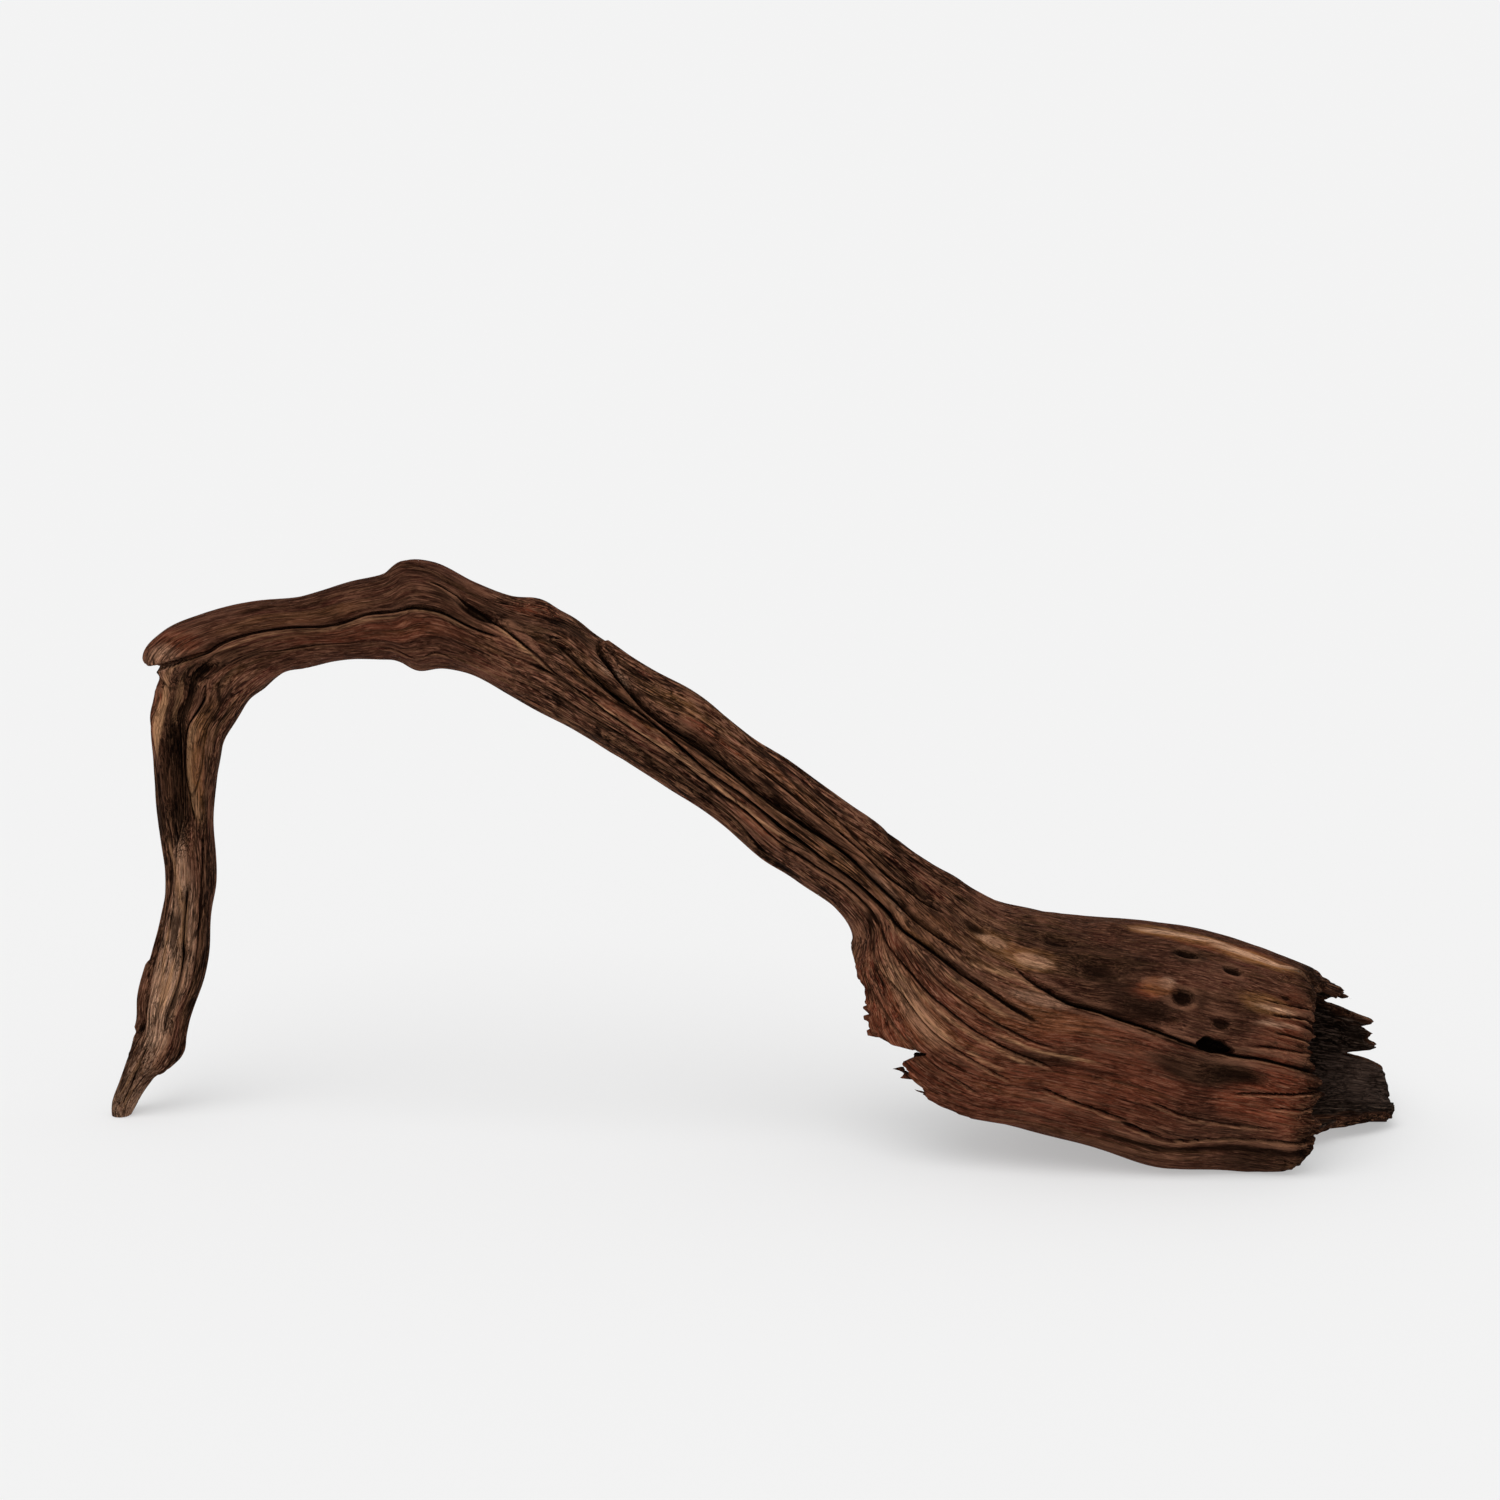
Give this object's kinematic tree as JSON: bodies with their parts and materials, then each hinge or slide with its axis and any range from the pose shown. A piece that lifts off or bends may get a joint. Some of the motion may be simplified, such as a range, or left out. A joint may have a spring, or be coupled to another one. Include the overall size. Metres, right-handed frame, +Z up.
{
  "type": "piece of driftwood",
  "caption": "Bent, water-worn branch that stands as an arch: a thin leg at one end, a long fluted trunk, and a broad torn foot that is hollow inside.",
  "frame": {"origin": "on the ground, under the middle of the bounding box", "axes": "+X from the thin leg to the toe of the foot, -Y the side seen in the picture, +Z up"},
  "size_m": [0.6266, 0.1254, 0.2801],
  "materials": {
    "wood": "weathered dark reddish brown wood, matt, with open grain and cracks"
  },
  "bodies": {
    "root": {"driftwood": "wood"}
  },
  "joints": []
}
